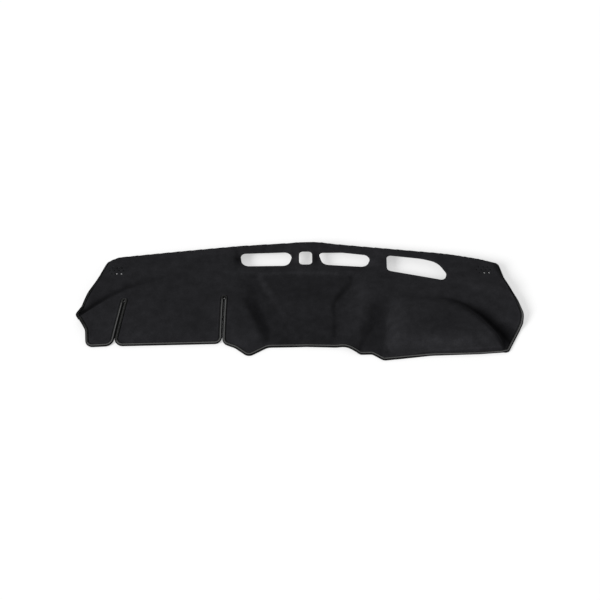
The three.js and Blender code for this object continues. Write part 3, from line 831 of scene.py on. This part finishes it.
def ramp(nodes, links, source, stops):
    node = nodes.new("ShaderNodeValToRGB")
    elements = node.color_ramp.elements
    for element, (place, colour) in zip(elements, (stops[0], stops[-1])):
        element.position = place
        element.color = (*colour, 1)
    for place, colour in stops[1:-1]:
        elements.new(place).color = (*colour, 1)
    links.new(source, node.inputs["Fac"])
    return node.outputs["Color"]


def grey(value, blue=0.0):
    """Linear colour of a display grey from 0 to 255, with its blue a few steps up or down."""
    out = []
    for shift in (0, 0, blue):
        c = max(0.0, value + shift) / 255
        out.append(c / 12.92 if c <= 0.04045 else ((c + 0.055) / 1.055) ** 2.4)
    return tuple(out)


def felt_material():
    """Short-napped black felt: fine speckle, faint cloudy patches and a soft bump."""
    material, nodes, links, shader = material_nodes("moulded_felt")
    coords = nodes.new("ShaderNodeTexCoord").outputs["Object"]
    speckle = noise(nodes, links, coords, 900, 2, 0.7)
    fibres = noise(nodes, links, coords, 330, 3, 0.6)
    clouds = noise(nodes, links, coords, 42, 3)
    patches = noise(nodes, links, coords, 8, 2)
    mixed = maths(nodes, links, "ADD", maths(nodes, links, "MULTIPLY", speckle, 0.34),
                  maths(nodes, links, "MULTIPLY", fibres, 0.30))
    mixed = maths(nodes, links, "ADD", mixed, maths(nodes, links, "MULTIPLY", clouds, 0.22))
    mixed = maths(nodes, links, "ADD", mixed, maths(nodes, links, "MULTIPLY", patches, 0.14))
    colour = ramp(nodes, links, mixed, [
        (0.34, grey(22, 1.5)), (0.5, grey(33, 2.0)), (0.66, grey(44, 2.6))])
    # The felt's colour is scaled by the painted light and shade kept on the mesh.
    painted_shading = nodes.new("ShaderNodeAttribute")
    painted_shading.attribute_name = "painted_shading"
    shade = nodes.new("ShaderNodeVectorMath")
    shade.operation = "SCALE"
    links.new(colour, shade.inputs["Vector"])
    links.new(painted_shading.outputs["Fac"], shade.inputs["Scale"])
    links.new(shade.outputs["Vector"], shader.inputs["Base Color"])
    shader.inputs["Roughness"].default_value = 0.95
    shader.inputs["Specular IOR Level"].default_value = 0.02
    bump = nodes.new("ShaderNodeBump")
    bump.inputs["Strength"].default_value = 0.55
    bump.inputs["Distance"].default_value = 0.0007
    links.new(maths(nodes, links, "ADD", speckle, fibres), bump.inputs["Height"])
    links.new(bump.outputs["Normal"], shader.inputs["Normal"])
    return material


def tape_material():
    """Knitted tape with fine ribs across it, dark, with a painted highlight along its crest."""
    material, nodes, links, shader = material_nodes("binding_tape")
    uv = nodes.new("ShaderNodeUVMap")
    uv.uv_map = "tape"
    apart = nodes.new("ShaderNodeSeparateXYZ")
    links.new(uv.outputs["UV"], apart.inputs["Vector"])
    waves = []
    for axis, pitch in (("X", RIB_PITCH), ("Y", ROW_PITCH)):
        turns = maths(nodes, links, "MULTIPLY", apart.outputs[axis], 2 * math.pi / pitch)
        waves.append(maths(nodes, links, "SINE", turns, 0))
    knit = maths(nodes, links, "MULTIPLY", *waves)
    fuzz = noise(nodes, links, nodes.new("ShaderNodeTexCoord").outputs["Object"], 700, 2)
    # The painted highlight along the crest lightens the tape's tone.
    wear_and_highlight = nodes.new("ShaderNodeAttribute")
    wear_and_highlight.attribute_name = "painted_highlight"
    tone = maths(nodes, links, "ADD", maths(nodes, links, "MULTIPLY", knit, 0.12),
                 maths(nodes, links, "ADD", maths(nodes, links, "MULTIPLY", fuzz, 0.4), -0.2))
    tone = maths(nodes, links, "ADD", tone, wear_and_highlight.outputs["Fac"])
    colour = ramp(nodes, links, tone, [
        (0.0, grey(6)), (0.14, grey(13)), (0.6, grey(94)), (1.0, grey(175))])
    links.new(colour, shader.inputs["Base Color"])
    shader.inputs["Roughness"].default_value = 0.7
    shader.inputs["Specular IOR Level"].default_value = 0.08
    bump = nodes.new("ShaderNodeBump")
    bump.inputs["Strength"].default_value = 0.6
    bump.inputs["Distance"].default_value = 0.0005
    height = maths(nodes, links, "ADD", maths(nodes, links, "MULTIPLY", knit, 0.5), fuzz)
    links.new(height, bump.inputs["Height"])
    links.new(bump.outputs["Normal"], shader.inputs["Normal"])
    return material


def thread_material():
    """Twisted polyester thread."""
    material, nodes, links, shader = material_nodes("binding_thread")
    coords = nodes.new("ShaderNodeTexCoord").outputs["Object"]
    twist = noise(nodes, links, coords, 1500, 1)
    colour = ramp(nodes, links, twist, [(0.3, grey(40, -1)), (0.7, grey(72, -2))])
    links.new(colour, shader.inputs["Base Color"])
    shader.inputs["Roughness"].default_value = 0.5
    shader.inputs["Specular IOR Level"].default_value = 0.4
    return material


# Stitches along the tape: the seam's place in its section in millimetres, then metres


SEAM_PLACE = (5.4, 3.75)
STITCH_PITCH = 0.0046
STITCH_LENGTH = 0.0032
THREAD_RADIUS = 0.00045


def group_input(tree, name, kind, value):
    socket = tree.interface.new_socket(name=name, in_out="INPUT", socket_type=kind)
    socket.default_value = value
    return socket.identifier


def stitch_tree(material):
    """Stitches of a given length, thickness and pitch along a curve."""
    tree = bpy.data.node_groups.new("tape_stitches", "GeometryNodeTree")
    tree.interface.new_socket(name="Geometry", in_out="INPUT", socket_type="NodeSocketGeometry")
    tree.interface.new_socket(name="Geometry", in_out="OUTPUT", socket_type="NodeSocketGeometry")
    inputs = {name: group_input(tree, name, "NodeSocketFloat", value) for name, value in (
        ("Pitch", STITCH_PITCH), ("Stitch length", STITCH_LENGTH),
        ("Thread radius", THREAD_RADIUS))}
    nodes, links = tree.nodes, tree.links
    start = nodes.new("NodeGroupInput")
    end = nodes.new("NodeGroupOutput")
    points = nodes.new("GeometryNodeCurveToPoints")
    points.mode = "LENGTH"
    links.new(start.outputs["Geometry"], points.inputs["Curve"])
    links.new(start.outputs["Pitch"], points.inputs["Length"])
    thread = nodes.new("GeometryNodeMeshUVSphere")
    thread.inputs["Segments"].default_value = 6
    thread.inputs["Rings"].default_value = 4
    thread.inputs["Radius"].default_value = 1.0
    size = nodes.new("ShaderNodeCombineXYZ")
    half = nodes.new("ShaderNodeMath")
    half.operation = "DIVIDE"
    half.inputs[1].default_value = 2.0
    links.new(start.outputs["Stitch length"], half.inputs[0])
    links.new(start.outputs["Thread radius"], size.inputs["X"])
    links.new(start.outputs["Thread radius"], size.inputs["Y"])
    links.new(half.outputs[0], size.inputs["Z"])
    place = nodes.new("GeometryNodeInstanceOnPoints")
    links.new(points.outputs["Points"], place.inputs["Points"])
    links.new(thread.outputs["Mesh"], place.inputs["Instance"])
    links.new(points.outputs["Rotation"], place.inputs["Rotation"])
    links.new(size.outputs["Vector"], place.inputs["Scale"])
    real = nodes.new("GeometryNodeRealizeInstances")
    links.new(place.outputs["Instances"], real.inputs["Geometry"])
    finish = nodes.new("GeometryNodeSetMaterial")
    finish.inputs["Material"].default_value = material
    links.new(real.outputs["Geometry"], finish.inputs["Geometry"])
    links.new(finish.outputs["Geometry"], end.inputs["Geometry"])
    return tree, inputs


def make_stitches(material):
    out, edge_z, lean = tape_frame()
    path = tape_place(out, edge_z, lean, *SEAM_PLACE)
    curve = bpy.data.curves.new("seam_path", "CURVE")
    curve.dimensions = "3D"
    spline = curve.splines.new("POLY")
    spline.points.add(len(path) - 1)
    spline.points.foreach_set("co", np.hstack((path, np.ones((len(path), 1)))).ravel())
    spline.use_cyclic_u = True
    seam = bpy.data.objects.new("seam_path", curve)
    bpy.context.scene.collection.objects.link(seam)
    tree, inputs = stitch_tree(material)
    modifier = seam.modifiers.new("stitches", "NODES")
    modifier.node_group = tree
    modifier[inputs["Pitch"]] = STITCH_PITCH
    evaluated = seam.evaluated_get(bpy.context.evaluated_depsgraph_get())
    mesh = bpy.data.meshes.new_from_object(evaluated)
    seam.modifiers.remove(modifier)
    bpy.data.objects.remove(seam)
    mesh.name = "tape_stitches"
    mesh.polygons.foreach_set("use_smooth", [True] * len(mesh.polygons))
    made = bpy.data.objects.new("tape_stitches", mesh)
    bpy.context.scene.collection.objects.link(made)
    return made


# Studio


FLOOR_HALF = 8
FLOOR_Z = -0.0004
FLOOR_GLOW = 0.52
WORLD_LIGHT = 0.5
SUN_STRENGTH = 3.2
SUN_ANGLE = 22
SUN_FROM = (-0.66, -0.5, 0.46)


def seen_by_camera(nodes, links):
    """1 for what the camera sees, also in a mirror or through glass, and 0 for the light."""
    path = nodes.new("ShaderNodeLightPath")
    indirect = maths(nodes, links, "MAXIMUM",
                     path.outputs["Is Glossy Ray"], path.outputs["Is Transmission Ray"])
    return maths(nodes, links, "MAXIMUM", path.outputs["Is Camera Ray"], indirect)


def make_floor():
    half, z = FLOOR_HALF, FLOOR_Z
    corners = [(-half, -half, z), (half, -half, z), (half, half, z), (-half, half, z)]
    floor = mesh_object("floor", corners, [(0, 1, 2, 3)])
    material = bpy.data.materials.new("floor")
    material.use_nodes = True
    nodes, links = material.node_tree.nodes, material.node_tree.links
    nodes.clear()
    paper = nodes.new("ShaderNodeBsdfDiffuse")
    paper.inputs["Color"].default_value = (0.5, 0.5, 0.5, 1)
    glow = nodes.new("ShaderNodeEmission")
    seen = seen_by_camera(nodes, links)
    links.new(maths(nodes, links, "MULTIPLY", seen, FLOOR_GLOW), glow.inputs["Strength"])
    both = nodes.new("ShaderNodeAddShader")
    links.new(paper.outputs[0], both.inputs[0])
    links.new(glow.outputs[0], both.inputs[1])
    out = nodes.new("ShaderNodeOutputMaterial")
    links.new(both.outputs[0], out.inputs["Surface"])
    floor.data.materials.append(material)
    return floor


def light_studio():
    world = bpy.data.worlds.new("studio")
    bpy.context.scene.world = world
    world.use_nodes = True
    nodes, links = world.node_tree.nodes, world.node_tree.links
    background = nodes["Background"]
    background.inputs["Color"].default_value = (1, 1, 1, 1)
    seen = seen_by_camera(nodes, links)
    more = maths(nodes, links, "MULTIPLY", seen, 1 - WORLD_LIGHT)
    strength = maths(nodes, links, "ADD", more, WORLD_LIGHT)
    links.new(strength, background.inputs["Strength"])
    data = bpy.data.lights.new("key", "SUN")
    data.energy = SUN_STRENGTH
    data.angle = math.radians(SUN_ANGLE)
    key = bpy.data.objects.new("key", data)
    key.rotation_euler = Vector(SUN_FROM).to_track_quat("Z", "Y").to_euler()
    bpy.context.scene.collection.objects.link(key)


place_camera()
floor = make_floor()
felt = make_felt(felt_material())
tape = make_tape(tape_material())
stitches = make_stitches(thread_material())
light_studio()
bpy.context.scene.view_settings.view_transform = "Standard"

for piece, material_slot in ((felt, "felt"), (tape, "tape"), (stitches, "tape")):
    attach(piece, "root")
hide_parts("felt_mat")
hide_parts("edge_binding")
